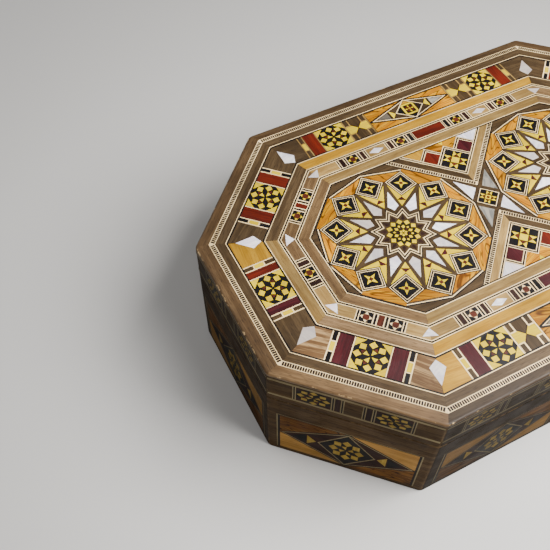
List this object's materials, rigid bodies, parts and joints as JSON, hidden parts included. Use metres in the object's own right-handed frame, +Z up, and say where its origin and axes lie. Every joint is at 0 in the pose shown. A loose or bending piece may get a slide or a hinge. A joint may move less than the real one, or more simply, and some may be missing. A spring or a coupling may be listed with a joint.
{
  "type": "mosaic box",
  "caption": "Octagonal wooden keepsake box with a flat lift-off lid, its walls and lid faced with inlaid wood and mother-of-pearl star mosaic.",
  "frame": {"origin": "centre of the underside, on the surface the box stands on", "axes": "+X along the length, -Y towards the front long side, +Z up out of the lid"},
  "size_m": [0.3, 0.196, 0.08],
  "materials": {
    "carcass_wood": "plain sanded wood with a thin matt varnish",
    "side_mosaic": "walnut veneer with inlaid strings and tiles, satin varnish",
    "lid_mosaic": "walnut, lemonwood, olive, red and black wood with mother-of-pearl tiles, satin varnish"
  },
  "bodies": {
    "root": {"base_board": "carcass_wood", "body_board_front": "carcass_wood", "body_veneer_front": "side_mosaic", "body_board_front_right": "carcass_wood", "body_veneer_front_right": "side_mosaic", "body_board_right": "carcass_wood", "body_veneer_right": "side_mosaic", "body_board_back_right": "carcass_wood", "body_veneer_back_right": "side_mosaic", "body_board_back": "carcass_wood", "body_veneer_back": "side_mosaic", "body_board_back_left": "carcass_wood", "body_veneer_back_left": "side_mosaic", "body_board_left": "carcass_wood", "body_veneer_left": "side_mosaic", "body_board_front_left": "carcass_wood", "body_veneer_front_left": "side_mosaic", "lid_board": "carcass_wood", "lid_top_veneer": "lid_mosaic", "lid_rim_front": "carcass_wood", "lid_veneer_front": "side_mosaic", "lid_rim_front_right": "carcass_wood", "lid_veneer_front_right": "side_mosaic", "lid_rim_right": "carcass_wood", "lid_veneer_right": "side_mosaic", "lid_rim_back_right": "carcass_wood", "lid_veneer_back_right": "side_mosaic", "lid_rim_back": "carcass_wood", "lid_veneer_back": "side_mosaic", "lid_rim_back_left": "carcass_wood", "lid_veneer_back_left": "side_mosaic", "lid_rim_left": "carcass_wood", "lid_veneer_left": "side_mosaic", "lid_rim_front_left": "carcass_wood", "lid_veneer_front_left": "side_mosaic"}
  },
  "joints": []
}
